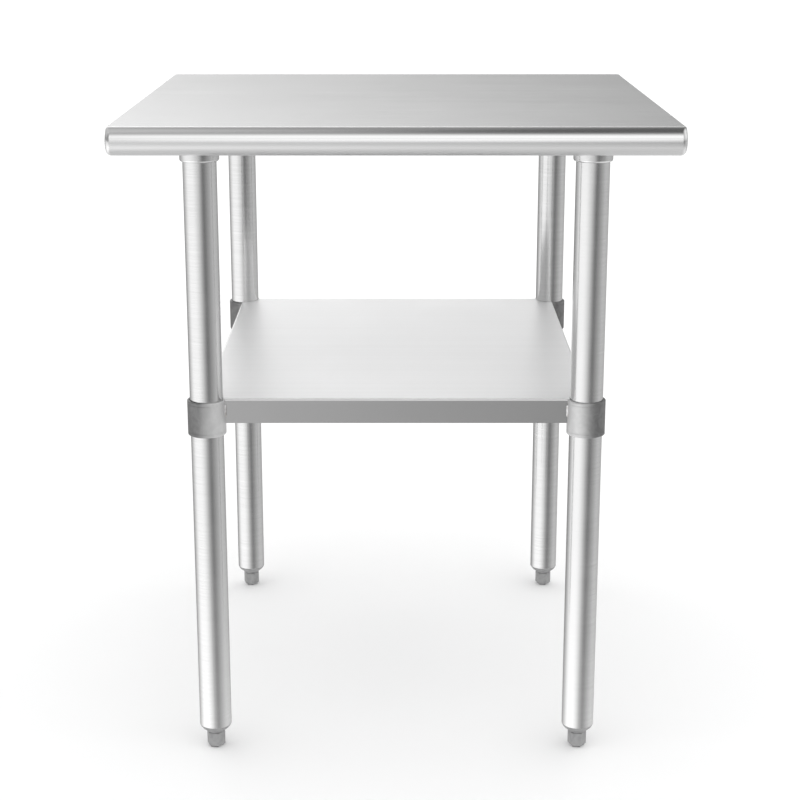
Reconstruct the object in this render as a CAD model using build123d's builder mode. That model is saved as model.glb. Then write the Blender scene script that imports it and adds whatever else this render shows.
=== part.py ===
from build123d import *

import math
import os

# A free-standing stainless work table: a rolled-edge top, four round legs on adjustable bullet feet, and
# an undershelf whose four corner collars slide up and down the legs and are held by set screws.
# Millimetres, +Z up, origin on the floor below the middle of the top. The front edge faces -Y.

# Overall size
table_width = 762.0
table_depth = 762.0
table_height = 914.0

# Top: one sheet, rolled along the front and the rear and turned down at both ends
top_sheet = 1.5
roll_height = 38.0
roll_lip = 8.0
end_hem = 15.0
end_corner = 7.0

# Hat channels that stiffen the top and the shelf from below
channel_sheet = 1.5
channel_crown = 70.0
channel_flange = 15.0
channel_bend = 2.5
top_channel_depth = 16.0
shelf_channel_depth = 20.0
channel_end_gap = 4.0

# Legs
leg_diameter = 46.0
leg_wall = 1.5
leg_side_inset = 116.0
leg_front_inset = 68.0
leg_bottom = 36.0
leg_top_gap = 1.5

# Leg sockets and shelf collars: rings that slip over the legs
ring_wall = 3.5
slip_clearance = 0.3
socket_plate = 3.0
socket_plate_depth = 90.0
socket_drop = 14.0
collar_height = 50.0
collar_rounding = 1.5
socket_rounding = 3.0
boss_diameter = 17.0
boss_length = 5.0

# Set screws, M8
screw_diameter = 8.0
screw_length = 10.0
screw_key = 4.0
screw_key_depth = 4.0
screw_tip_chamfer = 1.0
collar_screw_gap = 0.3

# Undershelf
shelf_top = 530.0
shelf_sheet = 1.2
shelf_flange = 35.0
shelf_hem = 10.0
shelf_bend = 3.0
shelf_side_overhang = 4.0
shelf_front_overhang = 5.0
notch_clearance = 0.5
bead_radius = 2.0
bead_height = 18.0
bead_drop = 8.0

# Adjustable feet, M16 x 2
insert_clearance = 0.15
insert_plug = 30.0
insert_bottom = 24.0
neck_diameter = 27.0
neck_height = 2.5
shoulder_radius = 14.0
stud_diameter = 16.0
stud_pitch = 2.0
thread_depth = 1.0
stud_bottom = 5.0
stud_threads = 31
stud_clearance = 0.3
bullet_height = 23.0
bullet_flats = 24.0
bullet_diameter = 26.4
bullet_bottom_chamfer = 3.5
bullet_top_chamfer = 1.0
bullet_turn = 20.0
bullet_fit = 0.1

# Worked-out sizes
leg_radius = leg_diameter / 2
leg_x = table_width / 2 - leg_side_inset
leg_y = table_depth / 2 - leg_front_inset
bore_radius = leg_radius + slip_clearance
ring_radius = bore_radius + ring_wall
top_underside = table_height - top_sheet
socket_plate_top = top_underside - top_channel_depth
socket_plate_underside = socket_plate_top - socket_plate
socket_bottom = table_height - roll_height - socket_drop
leg_top = socket_plate_underside - leg_top_gap
shelf_underside = shelf_top - shelf_sheet
collar_bottom = shelf_underside - collar_height
shelf_half_x = leg_x + shelf_side_overhang
shelf_half_y = leg_y + shelf_front_overhang
flange_bottom = shelf_top - shelf_flange
channel_width = channel_crown + 2 * channel_flange

# The four corners: name, side (-1 left, +1 right) and end (-1 front, +1 rear)
corners = {
    "front_left": (-1, -1),
    "front_right": (1, -1),
    "rear_left": (-1, 1),
    "rear_right": (1, 1),
}

os.makedirs("parts", exist_ok=True)


def save(piece, label):
    """Labels a finished piece and writes it under its own name."""
    piece.label = label
    export_step(piece, "parts/" + label + ".step")


def screw_plane(side, end, height):
    """A plane on a leg's axis at the given height, whose normal points at the middle of the table."""
    return Plane(origin=(side * leg_x, end * leg_y, height), x_dir=(0, 0, 1), z_dir=(-side, -end, 0))


# Top ---------------------------------------------------------------------------------------------


def top_slab(inset):
    """The top's outer shape, drawn in by inset on every side: a slot section with rounded ends."""
    with BuildPart() as slab:
        with BuildSketch(Plane.YZ.offset(inset - table_width / 2)):
            with Locations((0, table_height - roll_height / 2)):
                SlotOverall(table_depth - 2 * inset, roll_height - 2 * inset)
        extrude(amount=table_width - 2 * inset)
        ends = slab.faces().filter_by(Axis.X).sort_by(Axis.X)
        fillet(ends[0].edges() + ends[-1].edges(), end_corner - inset)
    return slab.part


with BuildPart() as worktop:
    add(top_slab(0))
    add(top_slab(top_sheet), mode=Mode.SUBTRACT)
    with BuildSketch(Plane.XY.offset(table_height - roll_height)):
        Rectangle(table_width - 2 * end_hem, table_depth - roll_height - 2 * roll_lip)
    extrude(amount=roll_height / 2, mode=Mode.SUBTRACT)
save(worktop.part, "worktop")


# Channels ----------------------------------------------------------------------------------------


def hat_outline(depth):
    """The hat section with its flanges at zero and its crown down at -depth, as a closed face."""
    crown = channel_crown / 2
    edge = channel_width / 2
    low = channel_sheet - depth
    with BuildLine() as path:
        FilletPolyline(
            (-edge, 0),
            (channel_sheet - crown, 0),
            (channel_sheet - crown, low),
            (crown - channel_sheet, low),
            (crown - channel_sheet, 0),
            (edge, 0),
            radius=channel_bend,
        )
        offset(amount=channel_sheet, side=Side.RIGHT)
    return path.line


def lengthwise_plane(height):
    """An upright plane across the table at the given height, whose normal runs to the right."""
    return Plane(origin=(0, 0, height), x_dir=(0, 1, 0), z_dir=(1, 0, 0))


for name, side in (("left", -1), ("right", 1)):
    with BuildPart() as cross_channel:
        section = Plane((side * leg_x, 0, top_underside), x_dir=(1, 0, 0), z_dir=(0, -1, 0))
        with BuildSketch(section):
            add(hat_outline(top_channel_depth))
            make_face()
        extrude(amount=table_depth / 2 - roll_height / 2 - roll_lip - channel_end_gap, both=True)
    save(cross_channel.part, "cross_channel_" + name)

with BuildPart() as centre_channel:
    with BuildSketch(lengthwise_plane(top_underside)):
        add(hat_outline(top_channel_depth))
        make_face()
    extrude(amount=leg_x - channel_width / 2, both=True)
save(centre_channel.part, "centre_channel")

with BuildPart() as shelf_channel:
    with BuildSketch(lengthwise_plane(shelf_underside)):
        add(hat_outline(shelf_channel_depth))
        make_face()
    extrude(amount=shelf_half_x - shelf_hem - channel_end_gap, both=True)
save(shelf_channel.part, "shelf_channel")


# Legs, sockets and their set screws --------------------------------------------------------------


def ring(bottom, top, rounding):
    """A ring round the table's own Z axis that a leg slips through, with rounded outer edges."""
    with BuildPart() as loop:
        with BuildSketch(Plane.XY.offset(bottom)):
            Circle(ring_radius)
        extrude(amount=top - bottom)
        fillet(loop.edges(), rounding)
        with BuildSketch(Plane.XY.offset(bottom)):
            Circle(bore_radius)
        extrude(amount=top - bottom, mode=Mode.SUBTRACT)
    return loop.part


def set_screw(plane, tip):
    """A headless screw on the plane's normal, its tip at the given distance, its key socket outward."""
    with BuildPart() as screw:
        with BuildSketch(plane.offset(tip)):
            Circle(screw_diameter / 2)
        extrude(amount=screw_length)
        tip_edge = screw.edges().sort_by(Axis(plane.origin, plane.z_dir))[0]
        chamfer(tip_edge, screw_tip_chamfer)
        with BuildSketch(plane.offset(tip + screw_length)):
            RegularPolygon(screw_key / 2, 6, major_radius=False)
        extrude(amount=-screw_key_depth, mode=Mode.SUBTRACT)
    return screw.part


socket_screw_height = (socket_bottom + socket_plate_underside) / 2
socket_screws = []

for corner, (side, end) in corners.items():
    with BuildPart() as leg:
        with BuildSketch(Plane.XY.offset(leg_bottom)):
            with Locations((side * leg_x, end * leg_y)):
                Circle(leg_radius)
                Circle(leg_radius - leg_wall, mode=Mode.SUBTRACT)
        extrude(amount=leg_top - leg_bottom)
    save(leg.part, "leg_" + corner)

    with BuildPart() as socket:
        with Locations((side * leg_x, end * leg_y)):
            add(ring(socket_bottom, socket_plate_top, socket_rounding))
        with BuildSketch(Plane.XY.offset(socket_plate_underside)):
            with Locations((side * leg_x, end * leg_y)):
                RectangleRounded(channel_crown, socket_plate_depth, boss_diameter / 2)
        extrude(amount=socket_plate)
        screw_axis = screw_plane(side, end, socket_screw_height)
        with BuildSketch(screw_axis):
            Circle(screw_diameter / 2)
        extrude(amount=ring_radius, mode=Mode.SUBTRACT)
    save(socket.part, "socket_" + corner)
    socket_screws.append(set_screw(screw_axis, leg_radius))

save(Compound(socket_screws), "socket_screws")


# Undershelf --------------------------------------------------------------------------------------


def shelf_block(inset):
    """The shelf's outer block, drawn in by inset on every side, with bent upper edges."""
    with BuildPart() as block:
        with BuildSketch(Plane.XY.offset(flange_bottom + inset)):
            Rectangle(2 * (shelf_half_x - inset), 2 * (shelf_half_y - inset))
        extrude(amount=shelf_flange - 2 * inset)
        fillet(block.faces().sort_by(Axis.Z)[-1].edges(), shelf_bend - inset)
    return block.part


with BuildPart() as shelf:
    add(shelf_block(0))
    add(shelf_block(shelf_sheet), mode=Mode.SUBTRACT)
    with BuildSketch(Plane.XY.offset(flange_bottom)):
        Rectangle(2 * (shelf_half_x - shelf_hem), 2 * (shelf_half_y - shelf_hem))
    extrude(amount=shelf_flange / 2, mode=Mode.SUBTRACT)
    with BuildSketch(Plane.XY.offset(flange_bottom)):
        with GridLocations(2 * leg_x, 2 * leg_y, 2, 2):
            Circle(ring_radius)
    extrude(amount=shelf_underside - flange_bottom, mode=Mode.SUBTRACT)
    with BuildSketch(Plane.XY.offset(shelf_underside)):
        with GridLocations(2 * leg_x, 2 * leg_y, 2, 2):
            Circle(leg_radius + notch_clearance)
    extrude(amount=shelf_sheet, mode=Mode.SUBTRACT)
save(shelf.part, "shelf")

collar_screw_height = (collar_bottom + shelf_underside) / 2
collar_screws = []

for corner, (side, end) in corners.items():
    with BuildPart() as collar:
        with Locations((side * leg_x, end * leg_y)):
            add(ring(collar_bottom, shelf_underside, collar_rounding))
        screw_axis = screw_plane(side, end, collar_screw_height)
        with BuildSketch(screw_axis.offset(bore_radius)):
            Circle(boss_diameter / 2)
        extrude(amount=ring_wall + boss_length)
        with BuildSketch(Plane.XY.offset(collar_bottom)):
            with Locations((side * leg_x, end * leg_y)):
                Circle(bore_radius)
        extrude(amount=collar_height, mode=Mode.SUBTRACT)
        with BuildSketch(screw_axis):
            Circle(screw_diameter / 2)
        extrude(amount=ring_radius + boss_length, mode=Mode.SUBTRACT)
    save(collar.part, "shelf_collar_" + corner)
    collar_screws.append(set_screw(screw_axis, leg_radius + collar_screw_gap))

save(Compound(collar_screws), "collar_screws")

# A weld bead stands in each corner between a collar and the end of a shelf flange
front_bead = Vector(leg_x - math.sqrt(ring_radius**2 - shelf_front_overhang**2), shelf_half_y)
side_bead = Vector(shelf_half_x, leg_y - math.sqrt(ring_radius**2 - shelf_side_overhang**2))
bead_top = shelf_top - bead_drop

with BuildPart() as shelf_weld_beads:
    with BuildSketch(Plane.XY.offset(bead_top - bead_height)):
        for spot in (front_bead, side_bead):
            with GridLocations(2 * spot.X, 2 * spot.Y, 2, 2):
                Circle(bead_radius)
        with GridLocations(2 * leg_x, 2 * leg_y, 2, 2):
            Circle(ring_radius, mode=Mode.SUBTRACT)
        Rectangle(2 * shelf_half_x, 2 * shelf_half_y, mode=Mode.SUBTRACT)
    extrude(amount=bead_height)
save(shelf_weld_beads.part, "shelf_weld_beads")


# Feet --------------------------------------------------------------------------------------------

plug_radius = leg_radius - leg_wall - insert_clearance
insert_bore = stud_diameter / 2 + stud_clearance
neck_top = (neck_diameter / 2, insert_bottom + neck_height)
thread_top = stud_bottom + stud_threads * stud_pitch


def thread_outline():
    """One side of the stud: a row of vee grooves at the thread's pitch, as a list of points."""
    crest = stud_diameter / 2
    points = [(0, stud_bottom), (crest - thread_depth, stud_bottom)]
    for turn in range(stud_threads):
        points.append((crest, stud_bottom + (turn + 0.5) * stud_pitch))
        points.append((crest - thread_depth, stud_bottom + (turn + 1) * stud_pitch))
    points.append((0, thread_top))
    return points


for corner, (side, end) in corners.items():
    axis_plane = Plane(origin=(side * leg_x, end * leg_y, 0), x_dir=(1, 0, 0), z_dir=(0, -1, 0))
    foot_axis = Axis(axis_plane.origin, (0, 0, 1))

    with BuildPart() as foot_insert:
        with BuildSketch(axis_plane):
            with BuildLine():
                RadiusArc((leg_radius, leg_bottom), neck_top, shoulder_radius)
                Polyline(
                    neck_top,
                    (neck_diameter / 2, insert_bottom),
                    (insert_bore, insert_bottom),
                    (insert_bore, leg_bottom + insert_plug),
                    (plug_radius, leg_bottom + insert_plug),
                    (plug_radius, leg_bottom),
                    (leg_radius, leg_bottom),
                )
            make_face()
        revolve(axis=foot_axis)
    save(foot_insert.part, "foot_insert_" + corner)

    with BuildPart() as foot_stud:
        with BuildSketch(axis_plane):
            with BuildLine():
                Polyline(*thread_outline(), close=True)
            make_face()
        revolve(axis=foot_axis)
    save(foot_stud.part, "foot_stud_" + corner)

    with BuildPart() as foot_bullet:
        with BuildSketch(Plane.XY):
            with Locations((side * leg_x, end * leg_y)):
                RegularPolygon(bullet_flats / 2, 6, major_radius=False, rotation=bullet_turn)
                Circle(bullet_diameter / 2, mode=Mode.INTERSECT)
        extrude(amount=bullet_height)
        chamfer(foot_bullet.faces().sort_by(Axis.Z)[0].edges(), bullet_bottom_chamfer)
        chamfer(foot_bullet.faces().sort_by(Axis.Z)[-1].edges(), bullet_top_chamfer)
        with BuildSketch(Plane.XY.offset(stud_bottom - bullet_fit)):
            with Locations((side * leg_x, end * leg_y)):
                Circle(stud_diameter / 2 + bullet_fit)
        extrude(amount=bullet_height, mode=Mode.SUBTRACT)
    save(foot_bullet.part, "foot_bullet_" + corner)
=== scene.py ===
# %% [markdown]
# # A stainless work table
#
# This lesson dresses a finished design. The sizes, the joints and the fits are already settled by
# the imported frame; here each plain part is remade as a clean mesh with soft bends, threads and
# weld beads, and every finish is built from shader nodes. Cells run from top to bottom.
#
# The first cell loads the frame. Its parts sit at rest in metres: +Z up, the front edge facing
# -Y.

# %% Load the frame
import math
from contextlib import contextmanager

import bmesh
import bpy
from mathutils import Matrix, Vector


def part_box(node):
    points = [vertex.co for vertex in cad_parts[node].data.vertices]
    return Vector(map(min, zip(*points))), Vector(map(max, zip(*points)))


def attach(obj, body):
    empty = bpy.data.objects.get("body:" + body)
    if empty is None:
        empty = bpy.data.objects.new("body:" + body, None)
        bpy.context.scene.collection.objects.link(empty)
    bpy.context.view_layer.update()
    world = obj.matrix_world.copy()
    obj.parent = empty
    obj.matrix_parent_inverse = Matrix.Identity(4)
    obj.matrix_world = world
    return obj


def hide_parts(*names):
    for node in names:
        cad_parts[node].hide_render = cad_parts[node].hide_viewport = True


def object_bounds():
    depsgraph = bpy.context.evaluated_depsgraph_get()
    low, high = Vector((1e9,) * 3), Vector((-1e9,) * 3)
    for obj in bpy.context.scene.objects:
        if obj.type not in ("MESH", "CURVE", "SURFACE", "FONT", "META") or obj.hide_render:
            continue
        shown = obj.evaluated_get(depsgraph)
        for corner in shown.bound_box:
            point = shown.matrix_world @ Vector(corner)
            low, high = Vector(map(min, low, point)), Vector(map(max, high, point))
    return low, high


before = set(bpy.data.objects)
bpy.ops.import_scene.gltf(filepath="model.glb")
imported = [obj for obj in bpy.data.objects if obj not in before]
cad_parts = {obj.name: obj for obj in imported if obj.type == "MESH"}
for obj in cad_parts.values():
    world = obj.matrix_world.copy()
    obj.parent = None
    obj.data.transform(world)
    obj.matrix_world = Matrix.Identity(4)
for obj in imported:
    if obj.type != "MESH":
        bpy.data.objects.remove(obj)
cad_low, cad_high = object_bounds()
print("frame box", tuple(cad_low), tuple(cad_high))

# %% [markdown]
# ## Sizes that the pieces share
#
# Nothing is placed by eye. Each piece asks the frame where its part is, so a changed design moves
# the looks with it. Sheet thickness and bend radii are the few sizes that a box can't tell, so
# they are written here once.

# %% Shared sizes
MM = 0.001
CORNERS = {
    "front_left": (-1, -1),
    "front_right": (1, -1),
    "rear_left": (-1, 1),
    "rear_right": (1, 1),
}

TOP_SHEET = 1.5 * MM
TOP_END_CORNER = 7.0 * MM
TOP_END_BEND = 2.5 * MM
TOP_WIDENING_TURN = 40.0
TOP_LIP = 8.0 * MM
TOP_HEM = 15.0 * MM
SHELF_SHEET = 1.2 * MM
SHELF_BEND = 3.0 * MM
SHELF_HEM = 10.0 * MM
LEG_WALL = 1.5 * MM
NOTCH_GAP = 0.5 * MM
RING_WALL = 3.5 * MM
SLIP_GAP = 0.3 * MM

HAIR = 0.01 * MM  # how near a corner has to be to count as lying on a face
CUT_PAST = 0.01  # how far a cutting tool reaches past the piece, in metres
FACING_DOWN = -0.99  # the upward part of the normal of a face that looks down
RING_SIDES = 128  # sides of everything that is round and near the eye


def centre_of(node):
    """The middle of a part's box."""
    low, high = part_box(node)
    return (low + high) / 2


def size_of(node):
    """The width, depth and height of a part's box."""
    low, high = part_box(node)
    return high - low


leg_centres = {corner: centre_of("leg_" + corner) for corner in CORNERS}
leg_radius = size_of("leg_front_left").x / 2
leg_places = {corner: (round(c.x, 3), round(c.y, 3)) for corner, c in leg_centres.items()}
print("legs stand at", leg_places)

# %% [markdown]
# ## A small bench of modelling tools
#
# Blender's operators work on whatever is selected, exactly as they do by hand. So each helper
# first clears the selection, makes one object active, and then picks faces or edges by where they
# are or which way they face. Loading the frame leaves its parts selected, which is why the
# clearing matters.

# %% Modelling tools


def only(piece):
    """Selects one object and nothing else, and makes it active."""
    bpy.ops.object.select_all(action="DESELECT")
    piece.select_set(True)
    bpy.context.view_layer.objects.active = piece


def named(name):
    """Names the primitive that was just added, with its mesh, and returns it."""
    piece = bpy.context.active_object
    piece.name = name
    piece.data.name = name
    return piece


@contextmanager
def editing(piece, mode="FACE"):
    """Opens a piece in edit mode and hands over its mesh for picking parts of it."""
    only(piece)
    bpy.ops.object.mode_set(mode="EDIT")
    bpy.ops.mesh.select_mode(type=mode)
    bpy.ops.mesh.select_all(action="DESELECT")
    yield bmesh.from_edit_mesh(piece.data)
    bpy.ops.object.mode_set(mode="OBJECT")


def pick_faces(mesh, test):
    """Selects exactly the faces that pass a test."""
    bpy.ops.mesh.select_all(action="DESELECT")
    mesh.faces.ensure_lookup_table()
    for face in mesh.faces:
        if test(face):
            face.select_set(True)


def pick_edges(mesh, test):
    """Selects exactly the edges whose two ends pass a test together."""
    bpy.ops.mesh.select_all(action="DESELECT")
    for edge in mesh.edges:
        if test(edge.verts[0].co, edge.verts[1].co):
            edge.select_set(True)


def modify(piece, kind, **settings):
    """Adds a modifier with its settings and applies it."""
    only(piece)
    bpy.ops.object.modifier_add(type=kind)
    modifier = piece.modifiers[-1]
    for setting, value in settings.items():
        setattr(modifier, setting, value)
    bpy.ops.object.modifier_apply(modifier=modifier.name)


def settle(piece):
    """Bakes an object's place, turn and size into its mesh, which leaves it at the origin."""
    only(piece)
    bpy.ops.object.transform_apply(location=True, rotation=True, scale=True)


def copy_to(piece, name, shift, turn=0.0):
    """A copy with its own mesh, turned about the world's Z axis and then moved."""
    only(piece)
    bpy.ops.object.duplicate()
    twin = named(name)
    twin.rotation_euler = (0, 0, turn)
    twin.location = shift
    settle(twin)
    return twin


def discard(piece):
    """Deletes a helper object that has done its work."""
    only(piece)
    bpy.ops.object.delete()


def joined(pieces, name):
    """Joins pieces into one object."""
    only(pieces[0])
    for piece in pieces[1:]:
        piece.select_set(True)
    bpy.ops.object.join()
    return named(name)


def smooth(piece, degrees=30):
    """Shades gentle bends smooth, keeps corners crisp and keeps large flat faces truly flat."""
    only(piece)
    bpy.ops.object.shade_smooth_by_angle(angle=math.radians(degrees))
    modify(piece, "WEIGHTED_NORMAL", keep_sharp=True, weight=80)


def carve(piece, tool, operation="DIFFERENCE"):
    """Cuts a piece with a tool, or welds the tool on, and throws the tool away."""
    modify(piece, "BOOLEAN", object=tool, operation=operation, solver="EXACT")
    discard(tool)


def break_edges(piece, width, degrees=60):
    """Takes the sharpness off every edge that turns by more than an angle."""
    turn = math.radians(degrees)
    modify(piece, "BEVEL", width=width, segments=2, limit_method="ANGLE", angle_limit=turn)


def block(name, low, high):
    """A box between two corners."""
    bpy.ops.object.select_all(action="DESELECT")
    middle = (Vector(low) + Vector(high)) / 2
    bpy.ops.mesh.primitive_cube_add(size=1, location=middle)
    piece = named(name)
    piece.dimensions = Vector(high) - Vector(low)
    settle(piece)
    return piece


def rod(name, start, end, radius, sides=48):
    """A cylinder from one point to another."""
    bpy.ops.object.select_all(action="DESELECT")
    way = end - start
    turn = way.to_track_quat("Z", "Y").to_euler()
    bpy.ops.mesh.primitive_cylinder_add(
        vertices=sides, radius=radius, depth=way.length, location=(start + end) / 2, rotation=turn
    )
    piece = named(name)
    settle(piece)
    return piece


def turned(name, profile, sides=96, closed=True):
    """A lathe-turned piece on the Z axis.

    It starts as a circle at the first (radius, height) of the profile, and each further pair
    extrudes the rim and resizes it. A closed profile is bridged back to its start, for a ring; an
    open one, for a solid piece, has its first and last rims filled.
    """
    bpy.ops.object.select_all(action="DESELECT")
    radius, height = profile[0]
    bpy.ops.mesh.primitive_circle_add(vertices=sides, radius=radius, location=(0, 0, height))
    piece = named(name)
    settle(piece)
    with editing(piece, "EDGE") as mesh:
        bpy.ops.mesh.select_all(action="SELECT")
        for new_radius, new_height in profile[1:]:
            rise = (0, 0, new_height - height)
            bpy.ops.mesh.extrude_region_move(TRANSFORM_OT_translate={"value": rise})
            scale = new_radius / radius
            centre = (0, 0, new_height)
            bpy.ops.transform.resize(value=(scale, scale, 1), center_override=centre)
            radius, height = new_radius, new_height
        if closed:
            ends = {(round(r, 6), round(h, 6)) for r, h in (profile[0], profile[-1])}
            pick_edges(
                mesh,
                lambda a, b: abs(a.z - b.z) < 1e-7
                and (round(a.xy.length, 6), round(a.z, 6)) in ends
                and (round(b.xy.length, 6), round(b.z, 6)) in ends
                and abs(a.xy.length - b.xy.length) < 1e-7,
            )
            bpy.ops.mesh.bridge_edge_loops()
        bpy.ops.mesh.select_all(action="SELECT")
        bpy.ops.mesh.fill_holes(sides=0)
        bpy.ops.mesh.select_all(action="SELECT")
        bpy.ops.mesh.normals_make_consistent(inside=False)
    return piece


def rounded(corner, centre, start, end, steps):
    """Points of an arc of radius corner in a lathe profile, from start to end in degrees."""
    points = []
    for step in range(steps + 1):
        angle = math.radians(start + (end - start) * step / steps)
        points.append((centre[0] + corner * math.cos(angle), centre[1] + corner * math.sin(angle)))
    return points


# %% [markdown]
# ## The top
#
# The real top is one sheet of stainless steel. Its front and rear edges are rolled into a half
# round, its ends are turned down, and a small lip runs inward under the rim. A box with four
# beveled edges gives the same outline; opening its underside and giving the skin a thickness
# makes it sheet metal. A solid slab would look the same from above, but not from below or at the
# lip.
#
# The ends need two radii: the long straight bend is tight, while the ends of the roll are
# rounder. Beveling with two widths tears where they meet, so the wide one is made all round, and
# its points are then drawn towards the corner, fully along the straight bend and less and less
# along the first part of the roll.

# %% Model the top
ROLL_SHARE = 0.9995  # just short of the half round, so that the bevel's two ends stay apart
low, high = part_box("worktop")
roll_radius = (high.z - low.z) / 2
worktop = block("rolled_worktop", low, high)
with editing(worktop, "EDGE") as mesh:
    pick_edges(mesh, lambda a, b: abs(a.x - b.x) > roll_radius)
    bpy.ops.mesh.bevel(offset=roll_radius * ROLL_SHARE, segments=24, profile=0.5, affect="EDGES")
    bpy.ops.mesh.select_all(action="SELECT")
    bpy.ops.mesh.remove_doubles(threshold=0.05 * MM)

# %% Round the ends of the top
with editing(worktop, "EDGE") as mesh:
    end_x = high.x - HAIR
    pick_edges(mesh, lambda a, b: abs(a.x + b.x) > 2 * end_x)
    bpy.ops.mesh.bevel(offset=TOP_END_CORNER, segments=8, profile=0.5, affect="EDGES")

# %% Tighten the straight bends
straight_half = high.y - roll_radius
roll_middle = (low.z + high.z) / 2
tight = TOP_END_BEND / TOP_END_CORNER
with editing(worktop, "VERT") as mesh:
    for vertex in mesh.verts:
        setback = high.x - abs(vertex.co.x)
        if setback > TOP_END_CORNER * 1.01 or vertex.co.z < roll_middle:
            continue
        round_roll = max(0.0, abs(vertex.co.y) - straight_half)
        above = vertex.co.z - roll_middle
        reach = math.hypot(round_roll, above)
        turn = math.degrees(math.atan2(round_roll, above))
        keep = tight + (1 - tight) * min(1.0, turn / TOP_WIDENING_TURN)
        grow = (roll_radius - (roll_radius - reach) * keep) / reach
        vertex.co.z = roll_middle + above * grow
        vertex.co.y += math.copysign(round_roll * (grow - 1), vertex.co.y)
        vertex.co.x = math.copysign(high.x - setback * keep, vertex.co.x)

# %% Open the underside and give the skin its thickness
with editing(worktop) as mesh:
    floor_z = low.z + 0.1 * MM
    pick_faces(
        mesh,
        lambda f: f.normal.z < FACING_DOWN
        and f.calc_center_median().z < floor_z
        and f.calc_area() > 0.1,
    )
    bpy.ops.mesh.inset(thickness=TOP_LIP)
    inner = [v.co for f in mesh.faces if f.select for v in f.verts]
    stretch = (high.x - TOP_HEM) / max(co.x for co in inner)
    bpy.ops.transform.resize(value=(stretch, 1, 1), center_override=(0, 0, low.z))
    bpy.ops.mesh.delete(type="FACE")
modify(worktop, "SOLIDIFY", thickness=TOP_SHEET, offset=-1, use_even_offset=True)
break_edges(worktop, 0.35 * MM)
smooth(worktop)
print("top has", len(worktop.data.polygons), "faces")

# %% [markdown]
# ## The undershelf
#
# The shelf is folded from thinner sheet. Its four sides turn down with a tight bend and turn in
# again as a hem, and each corner is notched round a leg. The notches are cut with cylinders, one
# that clears the leg through the sheet and a larger one that ends the flanges against the collar.

# %% Model the shelf
low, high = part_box("shelf")
ring_radius = leg_radius + SLIP_GAP + RING_WALL
shelf = block("folded_shelf", low, high)
with editing(shelf, "EDGE") as mesh:
    rim_z = high.z - HAIR
    pick_edges(mesh, lambda a, b: a.z > rim_z and b.z > rim_z)
    bpy.ops.mesh.bevel(offset=SHELF_BEND, segments=6, profile=0.5, affect="EDGES")
with editing(shelf) as mesh:
    pick_faces(mesh, lambda f: f.normal.z < FACING_DOWN)
    bpy.ops.mesh.inset(thickness=SHELF_HEM)
    bpy.ops.mesh.delete(type="FACE")
modify(shelf, "SOLIDIFY", thickness=SHELF_SHEET, offset=-1, use_even_offset=True)
sheet_underside = high.z - SHELF_SHEET
for centre in leg_centres.values():
    foot_of_cut = Vector((centre.x, centre.y, low.z - CUT_PAST))
    sheet_cut = Vector((centre.x, centre.y, high.z + CUT_PAST))
    flange_cut = Vector((centre.x, centre.y, sheet_underside))
    carve(shelf, rod("leg_notch", foot_of_cut, sheet_cut, leg_radius + NOTCH_GAP, RING_SIDES))
    carve(shelf, rod("collar_notch", foot_of_cut, flange_cut, ring_radius, RING_SIDES))
smooth(shelf)
print("shelf has", len(shelf.data.polygons), "faces")

# %% [markdown]
# ## Legs
#
# A leg is a length of round tube. It is turned once, as a closed profile with a real wall and a
# broken edge at each end, and then copied to the four corners with a mesh of its own each time.

# %% Model the legs


def upright_copies(pattern, base):
    """Four unturned copies of a pattern, one on the axis of each leg."""
    copies = {}
    for corner, centre in leg_centres.items():
        copies[corner] = copy_to(pattern, base + "_" + corner, (centre.x, centre.y, 0))
    discard(pattern)
    return copies


low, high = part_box("leg_front_left")
inner = leg_radius - LEG_WALL
edge = 0.4 * MM
leg_profile = [
    (inner, low.z + edge),
    (inner + edge, low.z),
    (leg_radius - edge, low.z),
    (leg_radius - 0.3 * edge, low.z + 0.3 * edge),
    (leg_radius, low.z + edge),
    (leg_radius, high.z - edge),
    (leg_radius - edge, high.z),
    (inner + edge, high.z),
    (inner, high.z - edge),
]
pattern = turned("leg_pattern", leg_profile, sides=RING_SIDES)
smooth(pattern)
legs = upright_copies(pattern, "leg_tube")

# %% [markdown]
# ## Copies for the four corners
#
# Sockets, collars and feet are alike at every corner, except that each is the mirror image of its
# neighbour. So each is modelled once about the table's own Z axis, as the front left one, and
# copied with a negative size where the corner needs the other hand. Mirroring turns a shell
# inside out, so every copy has its normals recalculated before it is shaded.

# %% Copy a pattern to the corners


def corner_copies(pattern, base, degrees=30):
    """Copies a front left pattern to each corner, mirrored to face the middle of the table."""
    copies = {}
    for corner, (side, end) in CORNERS.items():
        only(pattern)
        bpy.ops.object.duplicate()
        twin = named(base + "_" + corner)
        twin.scale = (-side, -end, 1)
        twin.location = (leg_centres[corner].x, leg_centres[corner].y, 0)
        settle(twin)
        with editing(twin):
            bpy.ops.mesh.select_all(action="SELECT")
            bpy.ops.mesh.normals_make_consistent(inside=False)
        smooth(twin, degrees)
        copies[corner] = twin
    discard(pattern)
    return copies


inward = Vector((1, 1, 0)).normalized()
print("the front left screws point along", tuple(round(c, 3) for c in inward))

# %% [markdown]
# ## Collars
#
# The shelf hangs on four collars, short rings that slip over the legs, each with a boss for its
# set screw on the side that faces the middle of the table. The ring is turned with a small step
# near each rim, the boss is a cylinder with a broken edge, and booleans weld the two and drill
# the hole.

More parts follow.
